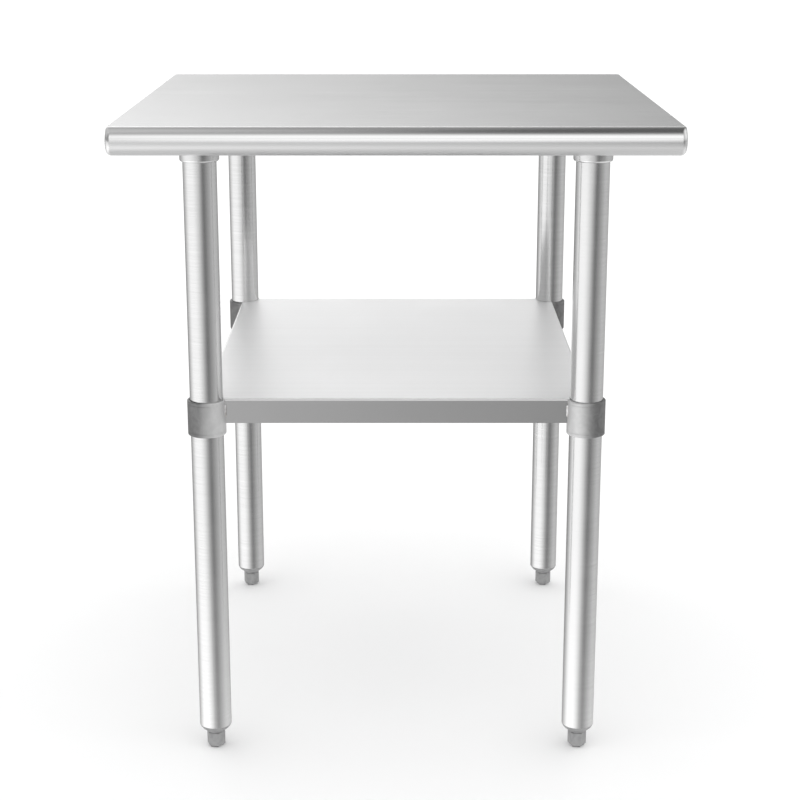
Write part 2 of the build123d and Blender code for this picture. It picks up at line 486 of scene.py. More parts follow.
# %% Model the collars
low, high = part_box("shelf_collar_front_left")
bore_radius = leg_radius + SLIP_GAP
rim = 1.5 * MM
step = 0.35 * MM
step_drop = 5.0 * MM
collar_profile = [(bore_radius, low.z + step), (bore_radius + step, low.z)]
collar_profile += rounded(rim, (ring_radius - rim, low.z + rim), -90, 0, 4)
for height in (low.z + step_drop, high.z - step_drop):
    collar_profile += [
        (ring_radius, height - step),
        (ring_radius - step, height),
        (ring_radius, height + step),
    ]
collar_profile += rounded(rim, (ring_radius - rim, high.z - rim), 0, 90, 4)
collar_profile += [(bore_radius + step, high.z), (bore_radius, high.z - step)]
collar = turned("collar_pattern", collar_profile, sides=RING_SIDES)

# %% Weld the boss on and drill it
BOSS_RADIUS = 8.5 * MM
BOSS_LENGTH = 5.0 * MM
SCREW_RADIUS = 4.0 * MM
boss_end = ring_radius + BOSS_LENGTH
collar_screw_height = (low.z + high.z) / 2
level = Vector((0, 0, collar_screw_height))
boss = rod("boss", level + inward * (bore_radius + step), level + inward * boss_end, BOSS_RADIUS)
with editing(boss, "EDGE") as mesh:
    rim_reach = boss_end - HAIR
    pick_edges(mesh, lambda a, b: a.dot(inward) > rim_reach and b.dot(inward) > rim_reach)
    bpy.ops.mesh.bevel(offset=0.8 * MM, segments=3, affect="EDGES")
carve(collar, boss, "UNION")
bore_start = Vector((0, 0, low.z - CUT_PAST))
bore_end = Vector((0, 0, high.z + CUT_PAST))
carve(collar, rod("leg_bore", bore_start, bore_end, bore_radius, RING_SIDES))
carve(collar, rod("screw_hole", level, level + inward * (boss_end + CUT_PAST), SCREW_RADIUS))
collars = corner_copies(collar, "slip_collar")

# %% [markdown]
# ## Sockets
#
# A socket is a short cup welded to the crown of a channel under the top, and the leg stands in
# it. Its lower rim is well rounded, and a fillet of weld runs round it under the plate. The
# fillet is part of the turned outline, which is simpler than beveling the seam after a boolean.

# %% Model the sockets
low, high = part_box("socket_front_left")
centre = leg_centres["front_left"]
SOCKET_RIM = 3.0 * MM
SOCKET_PLATE = 3.0 * MM
SOCKET_CORNER = 8.5 * MM
WELD_FILLET = 2.5 * MM
plate_underside = high.z - SOCKET_PLATE
socket_profile = [(bore_radius, low.z + step), (bore_radius + step, low.z)]
socket_profile += rounded(SOCKET_RIM, (ring_radius - SOCKET_RIM, low.z + SOCKET_RIM), -90, 0, 6)
fillet_centre = (ring_radius + WELD_FILLET, plate_underside - WELD_FILLET)
socket_profile += rounded(WELD_FILLET, fillet_centre, 180, 90, 5)
socket_profile += [(ring_radius + WELD_FILLET, high.z - step), (bore_radius, high.z - step)]
socket = turned("socket_pattern", socket_profile, sides=RING_SIDES)

# %% Give the sockets their plates and screw holes
plate_half = Vector((low.x - centre.x, low.y - centre.y, 0))
plate_low = plate_half + Vector((0, 0, plate_underside))
plate_high = -plate_half + Vector((0, 0, high.z))
plate = block("plate", plate_low, plate_high)
with editing(plate, "EDGE") as mesh:
    pick_edges(mesh, lambda a, b: abs(a.z - b.z) > 1 * MM)
    bpy.ops.mesh.bevel(offset=SOCKET_CORNER, segments=8, affect="EDGES")
break_edges(plate, 0.4 * MM)
carve(socket, plate, "UNION")
socket_screw_height = (low.z + plate_underside) / 2
level = Vector((0, 0, socket_screw_height))
carve(socket, rod("screw_hole", level, level + inward * (ring_radius + CUT_PAST), SCREW_RADIUS))
sockets = corner_copies(socket, "leg_socket")

# %% [markdown]
# ## Threads
#
# The set screws and the studs of the feet have real screw threads. A thread's outline is one vee,
# and the Screw modifier carries it round and up the axis, one pitch a turn. The turns only lie
# against each other, so they are merged, and the two ragged ends are cut off flat and closed by
# bisecting. Stacked rings would be quicker, but they look wrong wherever the thread is seen from
# near.

# %% Threaded rods


def threaded_rod(name, radius, depth, pitch, bottom, top, steps=40):
    """A threaded rod on the Z axis between two heights, as one closed shell."""
    bpy.ops.object.select_all(action="DESELECT")
    start = (radius - depth, 0, bottom - pitch)
    bpy.ops.mesh.primitive_plane_add(size=pitch, location=start)
    piece = named(name)
    settle(piece)
    with editing(piece, "VERT"):
        bpy.ops.mesh.select_all(action="SELECT")
        bpy.ops.mesh.merge(type="CENTER")
        for sideways in (depth, -depth):
            flank = (sideways, 0, pitch / 2)
            bpy.ops.mesh.extrude_region_move(TRANSFORM_OT_translate={"value": flank})
    turns = math.ceil((top - bottom) / pitch) + 2
    modify(
        piece,
        "SCREW",
        axis="Z",
        screw_offset=pitch,
        iterations=turns,
        steps=steps,
        render_steps=steps,
    )
    with editing(piece, "VERT"):
        bpy.ops.mesh.select_all(action="SELECT")
        bpy.ops.mesh.remove_doubles(threshold=depth * 0.02)
        for height, way in ((bottom, -1), (top, 1)):
            bpy.ops.mesh.select_all(action="SELECT")
            bpy.ops.mesh.bisect(
                plane_co=(0, 0, height),
                plane_no=(0, 0, way),
                use_fill=True,
                clear_outer=True,
                threshold=1e-6,
            )
        bpy.ops.mesh.select_all(action="SELECT")
        bpy.ops.mesh.normals_make_consistent(inside=False)
    return piece


# %% [markdown]
# ## Set screws
#
# Headless M8 screws with a key socket in the outer end. One is made pointing along X and turned
# to each corner, not mirrored, because a mirrored thread would be left-handed. The four of a kind
# become one object, as they are one part in the frame.

# %% Model a set screw
SCREW_LENGTH = 10.0 * MM
SCREW_PITCH = 1.25 * MM
SCREW_KEY = 4.0 * MM
KEY_DEPTH = 4.0 * MM
SCREW_VEE = 0.5 * MM
crest_radius = SCREW_RADIUS - 0.02 * MM
set_screw = threaded_rod(
    "set_screw_pattern", crest_radius, SCREW_VEE, SCREW_PITCH, 0, SCREW_LENGTH
)
bevel_cone = turned(
    "screw_ends",
    [
        (0.1 * MM, 0),
        (SCREW_RADIUS - 1.0 * MM, 0),
        (SCREW_RADIUS, 1.0 * MM),
        (SCREW_RADIUS, SCREW_LENGTH - 0.6 * MM),
        (SCREW_RADIUS - 0.6 * MM, SCREW_LENGTH),
        (0.1 * MM, SCREW_LENGTH),
    ],
    sides=40,
    closed=False,
)
carve(set_screw, bevel_cone, "INTERSECT")
key_corner = SCREW_KEY / 2 / math.cos(math.radians(30))
key_top = Vector((0, 0, SCREW_LENGTH + 1 * MM))
key_floor = Vector((0, 0, SCREW_LENGTH - KEY_DEPTH))
carve(set_screw, rod("key_socket", key_floor, key_top, key_corner, 6))
with editing(set_screw, "VERT"):
    bpy.ops.mesh.select_all(action="SELECT")
    bpy.ops.mesh.remove_doubles(threshold=0.004 * MM)
    bpy.ops.mesh.fill_holes(sides=0)
set_screw.rotation_euler = (0, math.pi / 2, 0)
settle(set_screw)

# %% Put the set screws in their holes


def screw_row(name, tip, height):
    """Copies the set screw to each corner, its tip at a distance from the leg's axis."""
    row = []
    for corner, (side, end) in CORNERS.items():
        heading = math.atan2(-end, -side)
        centre = leg_centres[corner]
        x = centre.x + tip * math.cos(heading)
        y = centre.y + tip * math.sin(heading)
        row.append(copy_to(set_screw, name, Vector((x, y, height)), heading))
    piece = joined(row, name)
    smooth(piece)
    return piece


socket_screws = screw_row("socket_set_screws", leg_radius, socket_screw_height)
collar_screws = screw_row("collar_set_screws", leg_radius + SLIP_GAP, collar_screw_height)
discard(set_screw)
print("set screws have", len(collar_screws.data.polygons), "faces")

# %% [markdown]
# ## Weld beads
#
# The ends of each shelf flange are welded to the collars with a short upright bead. A hand-laid
# bead shows the ripples that its pool froze in, like a leaning stack of coins, so the bead is
# turned with a rippled outline that tapers at both ends.

# %% Model the weld beads
low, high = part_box("shelf_weld_beads")
BEAD_RADIUS = 2.0 * MM
RIPPLE = 0.16 * MM
RIPPLE_PITCH = 1.5 * MM
bead_profile = []
bead_steps = 72
for number in range(bead_steps + 1):
    share = number / bead_steps
    height = low.z + share * (high.z - low.z)
    end_taper = min(1.0, math.sqrt(min(share, 1 - share) * (high.z - low.z) / BEAD_RADIUS))
    ripple = RIPPLE * abs(math.sin(math.pi * (height - low.z) / RIPPLE_PITCH))
    bead_profile.append((max(0.02 * MM, (BEAD_RADIUS - RIPPLE + ripple) * end_taper), height))
bead = turned("bead_pattern", bead_profile, sides=24, closed=False)
shelf_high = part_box("shelf")[1]
leg_x = abs(leg_centres["front_left"].x)
leg_y = abs(leg_centres["front_left"].y)
front_spot = (leg_x - math.sqrt(ring_radius**2 - (shelf_high.y - leg_y) ** 2), shelf_high.y)
side_spot = (shelf_high.x, leg_y - math.sqrt(ring_radius**2 - (shelf_high.x - leg_x) ** 2))
beads = []
for side, end in CORNERS.values():
    for x, y in (front_spot, side_spot):
        beads.append(copy_to(bead, "weld_bead", Vector((side * x, end * y, 0))))
discard(bead)
weld_beads = joined(beads, "collar_weld_beads")
smooth(weld_beads, 60)
print("beads have", len(weld_beads.data.polygons), "faces")

# %% [markdown]
# ## Feet
#
# Each leg ends in a plastic insert with a domed shoulder, and a threaded stud runs through it
# into a hexagonal bullet foot. Turning the foot by hand levels the table. The insert is turned,
# the stud is a threaded rod, and the bullet is a six-sided prism with its corners and its lower
# edge taken off.

# %% Model the foot inserts
low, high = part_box("foot_insert_front_left")
leg_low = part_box("leg_front_left")[0]
plug_radius = leg_radius - LEG_WALL - 0.15 * MM
stud_radius = size_of("foot_stud_front_left").x / 2
insert_bore = stud_radius + 0.3 * MM
NECK_RADIUS = 13.5 * MM
NECK_HEIGHT = 2.5 * MM
SHOULDER_RADIUS = 14.0 * MM
SHOULDER_STEPS = 10
neck_top = low.z + NECK_HEIGHT
lip = 0.3 * MM
insert_profile = [(insert_bore, low.z + lip), (insert_bore + lip, low.z)]
insert_profile += rounded(0.6 * MM, (NECK_RADIUS - 0.6 * MM, low.z + 0.6 * MM), -90, 0, 3)
rim_point = Vector((leg_radius - 0.02 * MM, leg_low.z - lip))
neck_point = Vector((NECK_RADIUS, neck_top))
chord = rim_point - neck_point
sagitta_leg = math.sqrt(SHOULDER_RADIUS**2 - (chord.length / 2) ** 2)
arc_centre = (rim_point + neck_point) / 2 + Vector((-chord.y, chord.x)).normalized() * sagitta_leg
first = math.degrees(math.atan2(neck_point.y - arc_centre.y, neck_point.x - arc_centre.x))
last = math.degrees(math.atan2(rim_point.y - arc_centre.y, rim_point.x - arc_centre.x))
insert_profile += rounded(SHOULDER_RADIUS, arc_centre, first, last, SHOULDER_STEPS)
insert_profile += [
    (leg_radius - lip, leg_low.z),
    (plug_radius, leg_low.z),
    (plug_radius, high.z - lip),
    (plug_radius - lip, high.z),
    (insert_bore, high.z),
]
inserts = corner_copies(turned("insert_pattern", insert_profile), "foot_plug")

# %% Model the studs
low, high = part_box("foot_stud_front_left")
stud = threaded_rod("stud_pattern", stud_radius, 1.0 * MM, 2.0 * MM, low.z, high.z, steps=64)
studs = upright_copies(stud, "threaded_stud")
for piece in studs.values():
    smooth(piece)
print("a stud has", len(studs["front_left"].data.polygons), "faces")

# %% Model the bullet feet
low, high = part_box("foot_bullet_front_left")
BULLET_FLATS = 24.0 * MM
BULLET_TURN = 20.0
BULLET_CHAMFER = 3.5 * MM
CORNER_ROUND = 1.2 * MM
bullet = rod(
    "bullet_pattern",
    Vector((0, 0, low.z + 0.02 * MM)),
    Vector((0, 0, high.z)),
    BULLET_FLATS / 2 / math.cos(math.radians(30)),
    6,
)
with editing(bullet, "EDGE") as mesh:
    pick_edges(mesh, lambda a, b: abs(a.z - b.z) > 1 * MM)
    bpy.ops.mesh.bevel(offset=CORNER_ROUND, segments=4, affect="EDGES")
    pick_edges(mesh, lambda a, b: max(a.z, b.z) < low.z + 0.1 * MM)
    bpy.ops.mesh.bevel(offset=BULLET_CHAMFER, segments=1, affect="EDGES")
    pick_edges(mesh, lambda a, b: min(a.z, b.z) > high.z - 0.1 * MM)
    bpy.ops.mesh.bevel(offset=1.0 * MM, segments=3, affect="EDGES")
break_edges(bullet, 0.35 * MM, 35)
bullet_seat = Vector((0, 0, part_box("foot_stud_front_left")[0].z - 0.1 * MM))
bore_end = Vector((0, 0, high.z + CUT_PAST))
carve(bullet, rod("stud_bore", bullet_seat, bore_end, stud_radius + 0.1 * MM, 64))
bullet.rotation_euler = (0, 0, math.radians(BULLET_TURN))
settle(bullet)
bullets = upright_copies(bullet, "bullet_foot")
for piece in bullets.values():
    smooth(piece)

# %% [markdown]
# ## Shader building blocks
#
# Nodes are wired with a few small helpers. Each takes either a socket or a plain number, so the
# wiring below reads like a formula. A shader group then holds an effect that several finishes
# share, with named inputs, and every finish gives it values of its own.

# %% Node helpers


def feed(tree, socket, value):
    """Links a node's output into a socket, or sets a plain value on it."""
    if isinstance(value, bpy.types.NodeSocket):
        tree.links.new(value, socket)
    else:
        socket.default_value = value


def add_node(tree, kind, inputs=None, **settings):
    """A shader node with its settings and with its inputs fed by name or number."""
    node = tree.nodes.new("ShaderNode" + kind)
    for setting, value in settings.items():
        setattr(node, setting, value)
    for key, value in (inputs or {}).items():
        feed(tree, node.inputs[key], value)
    return node


def calc(tree, operation, *values):
    """One step of arithmetic."""
    inputs = dict(enumerate(values))
    return add_node(tree, "Math", inputs, operation=operation).outputs[0]


def remap(tree, value, source, target, gentle=False):
    """Maps one span of values to another, clamped at its ends, with soft ends when gentle."""
    kind = "SMOOTHSTEP" if gentle else "LINEAR"
    inputs = {"Value": value, 1: source[0], 2: source[1], 3: target[0], 4: target[1]}
    return add_node(tree, "MapRange", inputs, interpolation_type=kind, clamp=True).outputs[0]


def blend(tree, first, second, share):
    """Mixes two values: a share of the first and the rest of the second."""
    most = calc(tree, "MULTIPLY", first, share)
    rest = calc(tree, "MULTIPLY", second, 1 - share)
    return calc(tree, "ADD", most, rest)


def start_group(name, inputs, outputs):
    """An empty shader group with float inputs, a Vector input first, and float outputs."""
    group = bpy.data.node_groups.new(name, "ShaderNodeTree")
    group.interface.new_socket("Vector", in_out="INPUT", socket_type="NodeSocketVector")
    for label in inputs:
        group.interface.new_socket(label, in_out="INPUT", socket_type="NodeSocketFloat")
    for label in outputs:
        group.interface.new_socket(label, in_out="OUTPUT", socket_type="NodeSocketFloat")
    entry = group.nodes.new("NodeGroupInput")
    leave = group.nodes.new("NodeGroupOutput")
    return group, entry.outputs, leave.inputs


def use_group(tree, group, **inputs):
    """Places a shader group in a material; an underscore in an input's name stands for a space."""
    node = tree.nodes.new("ShaderNodeGroup")
    node.node_tree = group
    for label, value in inputs.items():
        feed(tree, node.inputs[label.replace("_", " ")], value)
    return node.outputs


def new_finish(name, metallic, roughness):
    """A material with one Principled shader and the object's own coordinates."""
    material = bpy.data.materials.new(name)
    material.use_nodes = True
    tree = material.node_tree
    tree.nodes.clear()
    shader = add_node(tree, "BsdfPrincipled", {"Metallic": metallic, "Roughness": roughness})
    output = tree.nodes.new("ShaderNodeOutputMaterial")
    tree.links.new(shader.outputs[0], output.inputs["Surface"])
    place = add_node(tree, "TexCoord").outputs["Object"]
    return material, tree, shader, place


def tint(tree, shader, amount, dark, light):
    """Feeds the shader's colour from dark to light by an amount between 0 and 1."""
    blend = add_node(tree, "Mix", {0: amount, 6: (*dark, 1), 7: (*light, 1)}, data_type="RGBA")
    tree.links.new(blend.outputs[2], shader.inputs["Base Color"])


def raise_surface(tree, shader, height, distance, strength=1.0):
    """Bumps the surface by a height between 0 and 1 over a distance in metres."""
    bump = add_node(tree, "Bump", {"Height": height, "Distance": distance, "Strength": strength})
    tree.links.new(bump.outputs[0], shader.inputs["Normal"])


# %% [markdown]
# ## Effects that the finishes share
#
# *Brushed grain* is noise stretched along one axis, in a fine and a coarse layer, because a belt
# leaves hairlines and also broad faint bands. *Wiping marks* are large soft clouds, the trace of
# a cloth. *Spangle* is the crystal pattern of hot-dip zinc, and *moulded skin* is the fine sandy
# texture of a plastic moulding.

# %% Brushed grain
brushed_grain, given, out = start_group("brushed_grain", ["Along", "Across"], ["Lines", "Bands"])
inputs = {0: given["Along"], 1: given["Across"], 2: given["Across"]}
scale = add_node(brushed_grain, "CombineXYZ", inputs)
inputs = {0: given["Vector"], 1: scale.outputs[0]}
stretched = add_node(brushed_grain, "VectorMath", inputs, operation="MULTIPLY").outputs[0]
inputs = {"Vector": stretched, "Scale": 1.0, "Detail": 3.0, "Roughness": 0.7}
fine = add_node(brushed_grain, "TexNoise", inputs)
inputs = {"Vector": stretched, "Scale": 0.12, "Detail": 2.0, "Roughness": 0.5}
broad = add_node(brushed_grain, "TexNoise", inputs)
feed(brushed_grain, out["Lines"], remap(brushed_grain, fine.outputs[0], (0.3, 0.7), (0, 1)))
bands = remap(brushed_grain, broad.outputs[0], (0.3, 0.7), (0, 1), gentle=True)
feed(brushed_grain, out["Bands"], bands)

# %% Wiping marks
wiping_marks, given, out = start_group("wiping_marks", ["Size"], ["Cloud"])
frequency = calc(wiping_marks, "DIVIDE", 1.0, given["Size"])
inputs = {
    "Vector": given["Vector"],
    "Scale": frequency,
    "Detail": 3.0,
    "Roughness": 0.55,
    "Distortion": 0.6,
}
cloud = add_node(wiping_marks, "TexNoise", inputs).outputs[0]
feed(wiping_marks, out["Cloud"], remap(wiping_marks, cloud, (0.32, 0.68), (0, 1), gentle=True))

# %% Zinc spangle
spangle, given, out = start_group("zinc_spangle", ["Crystal"], ["Facet", "Frost"])
frequency = calc(spangle, "DIVIDE", 1.0, given["Crystal"])
warp = add_node(spangle, "TexNoise", {"Vector": given["Vector"], "Scale": frequency, "Detail": 2.0})
inputs = {0: warp.outputs[1], 1: (0.004, 0.004, 0.004)}
pushed = add_node(spangle, "VectorMath", inputs, operation="MULTIPLY").outputs[0]
inputs = {0: given["Vector"], 1: pushed}
warped = add_node(spangle, "VectorMath", inputs, operation="ADD").outputs[0]
crystals = add_node(spangle, "TexVoronoi", {"Vector": warped, "Scale": frequency})
shade = add_node(spangle, "SeparateColor", {0: crystals.outputs["Color"]}).outputs[0]
feed(spangle, out["Facet"], shade)
frost = add_node(spangle, "TexNoise", {"Vector": given["Vector"], "Scale": 900.0, "Detail": 2.0})
feed(spangle, out["Frost"], frost.outputs[0])

# %% Moulded skin
moulded_skin, given, out = start_group("moulded_skin", ["Grain"], ["Height", "Cloud"])
frequency = calc(moulded_skin, "DIVIDE", 1.0, given["Grain"])
inputs = {"Vector": given["Vector"], "Scale": frequency, "Detail": 3.0}
sand = add_node(moulded_skin, "TexNoise", inputs)
inputs = {"Vector": given["Vector"], "Scale": 90.0, "Detail": 2.0}
flow = add_node(moulded_skin, "TexNoise", inputs).outputs[0]
feed(moulded_skin, out["Height"], sand.outputs[0])
feed(moulded_skin, out["Cloud"], remap(moulded_skin, flow, (0.35, 0.65), (0, 1), gentle=True))
print("shared effects:", sorted(group.name for group in bpy.data.node_groups))

# %% [markdown]
# ## Finish of the top
#
# Work surfaces are polished with a fine belt run lengthwise, a number 4 finish. It is a clear
# metal reflection. Grain bands shift the roughness and the tone by a few hundredths, and a cloth
# has left faint clouds. Below the middle of the roll the finish is made rougher, which dulls its
# lower half. That last step is chosen for the look; it isn't a known habit of such tables.

# %% Top finish
top_finish, tree, shader, place = new_finish("brushed_top_steel", 1.0, 0.24)
grain = use_group(tree, brushed_grain, Vector=place, Along=9.0, Across=2200.0)
marks = use_group(tree, wiping_marks, Vector=place, Size=0.11)
tone = blend(tree, grain["Bands"], grain["Lines"], 0.6)
tint(tree, shader, tone, (0.61, 0.61, 0.61), (0.67, 0.67, 0.67))
rough = remap(tree, marks["Cloud"], (0, 1), (0.2, 0.21))
level = add_node(tree, "SeparateXYZ", {0: place}).outputs[2]
under_roll = remap(tree, level, (roll_middle - 2 * MM, roll_middle + 3 * MM), (0.2, 0), gentle=True)
rough = calc(tree, "ADD", rough, under_roll)
streaky = calc(tree, "MULTIPLY", tone, 0.02)
feed(tree, shader.inputs["Roughness"], calc(tree, "ADD", rough, streaky))
raise_surface(tree, shader, grain["Lines"], 0.004 * MM, 0.5)

# %% [markdown]
# ## Finish of the legs
#
# The tube is ground as it turns, so its hairlines run round it. On Object coordinates that is a
# grain that changes quickly along Z and hardly at all across the tube.

# %% Leg finish
leg_finish, tree, shader, place = new_finish("ground_leg_tube", 1.0, 0.2)
marks = use_group(tree, wiping_marks, Vector=place, Size=0.05)
inputs = {0: place, 1: (12.0, 12.0, 1500.0)}
flattened = add_node(tree, "VectorMath", inputs, operation="MULTIPLY").outputs[0]
inputs = {"Vector": flattened, "Scale": 1.0, "Detail": 3.0, "Roughness": 0.6}
turning = add_node(tree, "TexNoise", inputs).outputs[0]
tone = remap(tree, turning, (0.35, 0.65), (0, 1))
tint(tree, shader, tone, (0.62, 0.62, 0.62), (0.69, 0.69, 0.69))
feed(tree, shader.inputs["Roughness"], remap(tree, marks["Cloud"], (0, 1), (0.17, 0.21)))
raise_surface(tree, shader, turning, 0.003 * MM, 0.4)

# %% [markdown]
# ## Finish of the undershelf
#
# The shelf is plainer sheet, duller and paler than the top, with the mill's long faint grain. It
# is rough enough to spread a reflection, so the rear legs show in it only as soft streaks. The
# deck is made part matt, and the bends and flanges below it are smoother and fully metallic, with
# their colour darkened as painted shade. This difference is chosen for the look; the real sheet
# may have one finish all over.

# %% Shelf finish
shelf_finish, tree, shader, place = new_finish("mill_finish_shelf", 1.0, 0.3)
grain = use_group(tree, brushed_grain, Vector=place, Along=6.0, Across=1500.0)
marks = use_group(tree, wiping_marks, Vector=place, Size=0.09)
tone = blend(tree, grain["Bands"], grain["Lines"], 0.7)
level = add_node(tree, "SeparateXYZ", {0: place}).outputs[2]
drop = calc(tree, "SUBTRACT", shelf_high.z, level)
folded = remap(tree, drop, (0.2 * MM, 1.8 * MM), (0, 1), gentle=True)
streaks = remap(tree, tone, (0, 1), (0.93, 1))
# Painted shade: the bends and flanges get the dark colour, while the deck keeps its pale grain.
grain_with_painted_fold_shade = calc(tree, "MULTIPLY", streaks, calc(tree, "SUBTRACT", 1.0, folded))
tint(tree, shader, grain_with_painted_fold_shade, (0.47, 0.47, 0.47), (0.92, 0.92, 0.92))
feed(tree, shader.inputs["Metallic"], remap(tree, folded, (0, 1), (0.6, 1)))
rough = remap(tree, marks["Cloud"], (0, 1), (0.40, 0.42))
smoother = calc(tree, "MULTIPLY", folded, 0.2)
feed(tree, shader.inputs["Roughness"], calc(tree, "SUBTRACT", rough, smoother))
raise_surface(tree, shader, grain["Lines"], 0.005 * MM, 0.5)

# %% [markdown]
# ## Finish of the collars and sockets
#
# Collars and sockets are satin and a little mottled, as cast and blasted fittings are. A collar's
# colour is painted paler on the side of the shelf and darker on the outside, which is painted
# light and painted shade across the ring; that side is also rougher, and the collar is only part
# metallic. That is chosen for the look, not known. Distance from the middle of the table, along X,
# tells the two sides apart at every corner.

# %% Fitting finish
fitting_finish, tree, shader, place = new_finish("satin_fitting", 0.55, 0.38)
sideways = add_node(tree, "SeparateXYZ", {0: place}).outputs[0]
outward = calc(tree, "SUBTRACT", calc(tree, "ABSOLUTE", sideways), leg_x)
# Painted light on the side of the shelf and painted shade on the outside of each collar.
painted_light_inner_side = remap(tree, outward, (-16 * MM, 14 * MM), (1, 0), gentle=True)
marks = use_group(tree, wiping_marks, Vector=place, Size=0.012)
mottle = use_group(tree, moulded_skin, Vector=place, Grain=0.0006)
tone = blend(tree, painted_light_inner_side, marks["Cloud"], 0.9)
# The dark to pale colour is painted shade and painted light, mixed with a little real mottling.
tint(tree, shader, tone, (0.13, 0.13, 0.13), (0.6, 0.6, 0.6))
feed(tree, shader.inputs["Roughness"], remap(tree, tone, (0, 1), (0.42, 0.5)))
raise_surface(tree, shader, mottle["Height"], 0.02 * MM, 0.6)

# %% Socket finish
socket_finish, tree, shader, place = new_finish("blasted_socket", 1.0, 0.26)
marks = use_group(tree, wiping_marks, Vector=place, Size=0.015)
mottle = use_group(tree, moulded_skin, Vector=place, Grain=0.0006)
tint(tree, shader, marks["Cloud"], (0.6, 0.6, 0.6), (0.66, 0.66, 0.66))
feed(tree, shader.inputs["Roughness"], remap(tree, marks["Cloud"], (0, 1), (0.2, 0.24)))
raise_surface(tree, shader, mottle["Height"], 0.006 * MM, 0.5)

# %% [markdown]
# ## Weld, zinc and dark screws
#
# A bead keeps a faint warm tint in clouds, as heat leaves on stainless steel, and its roughness
# changes in bands that follow its ripples. The channels are cut from galvanised sheet and keep
# its crystals. The studs are zinc plated, and the set screws are black oxide, a little mottled.

# %% Weld finish
weld_finish, tree, shader, place = new_finish("weld_bead_steel", 1.0, 0.3)
height = add_node(tree, "SeparateXYZ", {0: place}).outputs[2]
ripple = calc(tree, "SINE", calc(tree, "MULTIPLY", height, 2 * math.pi / RIPPLE_PITCH))
marks = use_group(tree, wiping_marks, Vector=place, Size=0.006)
tint(tree, shader, marks["Cloud"], (0.50, 0.48, 0.46), (0.78, 0.78, 0.79))
feed(tree, shader.inputs["Roughness"], remap(tree, ripple, (-1, 1), (0.22, 0.36)))
raise_surface(tree, shader, marks["Cloud"], 0.05 * MM, 0.5)

# %% Channel finish
channel_finish, tree, shader, place = new_finish("galvanised_channel", 1.0, 0.4)
zinc = use_group(tree, spangle, Vector=place, Crystal=0.011)
tone = blend(tree, zinc["Facet"], zinc["Frost"], 0.75)
tint(tree, shader, tone, (0.44, 0.45, 0.46), (0.66, 0.67, 0.68))
feed(tree, shader.inputs["Roughness"], remap(tree, zinc["Facet"], (0, 1), (0.3, 0.48)))
raise_surface(tree, shader, zinc["Frost"], 0.01 * MM, 0.4)

# %% Stud finish
stud_finish, tree, shader, place = new_finish("zinc_plated_stud", 1.0, 0.3)
marks = use_group(tree, wiping_marks, Vector=place, Size=0.008)
tint(tree, shader, marks["Cloud"], (0.52, 0.53, 0.55), (0.66, 0.67, 0.68))
feed(tree, shader.inputs["Roughness"], remap(tree, marks["Cloud"], (0, 1), (0.26, 0.36)))

# %% Set screw finish
screw_finish, tree, shader, place = new_finish("black_oxide_screw", 1.0, 0.4)
marks = use_group(tree, wiping_marks, Vector=place, Size=0.003)
skin = use_group(tree, moulded_skin, Vector=place, Grain=0.0003)
tint(tree, shader, marks["Cloud"], (0.035, 0.035, 0.038), (0.1, 0.1, 0.105))
feed(tree, shader.inputs["Roughness"], remap(tree, marks["Cloud"], (0, 1), (0.35, 0.5)))
raise_surface(tree, shader, skin["Height"], 0.01 * MM, 0.5)

# %% [markdown]
# ## Finish of the feet
#
# Inserts and bullets are moulded in grey nylon: not metal, with a fine sandy skin, faint flow
# clouds and a soft sheen.

# %% Foot plastic
foot_finish, tree, shader, place = new_finish("grey_nylon", 0.0, 0.5)
skin = use_group(tree, moulded_skin, Vector=place, Grain=0.0007)
marks = use_group(tree, wiping_marks, Vector=place, Size=0.01)
tint(tree, shader, marks["Cloud"], (0.26, 0.26, 0.262), (0.32, 0.32, 0.322))
feed(tree, shader.inputs["Roughness"], remap(tree, skin["Cloud"], (0, 1), (0.44, 0.58)))
raise_surface(tree, shader, skin["Height"], 0.03 * MM, 0.5)
shader.inputs["Specular IOR Level"].default_value = 0.35

# %% [markdown]
# ## Fitting the pieces to the frame
#
# Each new piece stands for a part of the frame, rides on the body that the part belongs to, and
# gets its finish. The channels keep the frame's own shape and only get their finish.

# %% Ride, replace, slot


def fit(piece, body, node, finish):
    """Dresses a piece in its finish and lets it stand for a part of the frame."""
    piece.data.materials.clear()
    piece.data.materials.append(finish)
    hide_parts(node)
    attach(piece, body)


fit(worktop, "frame", "worktop", top_finish)
fit(shelf, "shelf", "shelf", shelf_finish)
fit(weld_beads, "shelf", "shelf_weld_beads", weld_finish)
fit(socket_screws, "frame", "socket_screws", screw_finish)
fit(collar_screws, "shelf", "collar_screws", screw_finish)
for corner in CORNERS:
    fit(legs[corner], "frame", "leg_" + corner, leg_finish)
    fit(sockets[corner], "frame", "socket_" + corner, socket_finish)
    fit(collars[corner], "shelf", "shelf_collar_" + corner, fitting_finish)
    fit(inserts[corner], "frame", "foot_insert_" + corner, foot_finish)
    fit(studs[corner], "stud_" + corner, "foot_stud_" + corner, stud_finish)
    fit(bullets[corner], "bullet_" + corner, "foot_bullet_" + corner, foot_finish)

for node in ("cross_channel_left", "cross_channel_right", "centre_channel", "shelf_channel"):
    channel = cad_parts[node]
    channel.data.materials.clear()
    channel.data.materials.append(channel_finish)

# %% [markdown]
# ## Floor
#
# A pale sheet far larger than the table. Polished metal would mirror its edge, so reflections
# don't see it; what they see is the studio of the next cell.

# %% Floor
bpy.ops.object.select_all(action="DESELECT")
FLOOR_SIZE = 60.0
FLOOR_LEVEL = -0.2 * MM
bpy.ops.mesh.primitive_plane_add(size=FLOOR_SIZE, location=(0, 0, FLOOR_LEVEL))
floor = named("studio_floor")
floor.visible_glossy = False
floor_finish, tree, shader, place = new_finish("pale_floor", 0.0, 0.9)
marks = use_group(tree, wiping_marks, Vector=place, Size=0.5)
tint(tree, shader, marks["Cloud"], (0.88, 0.88, 0.88), (0.885, 0.885, 0.885))
shader.inputs["Specular IOR Level"].default_value = 0.0
floor.data.materials.append(floor_finish)

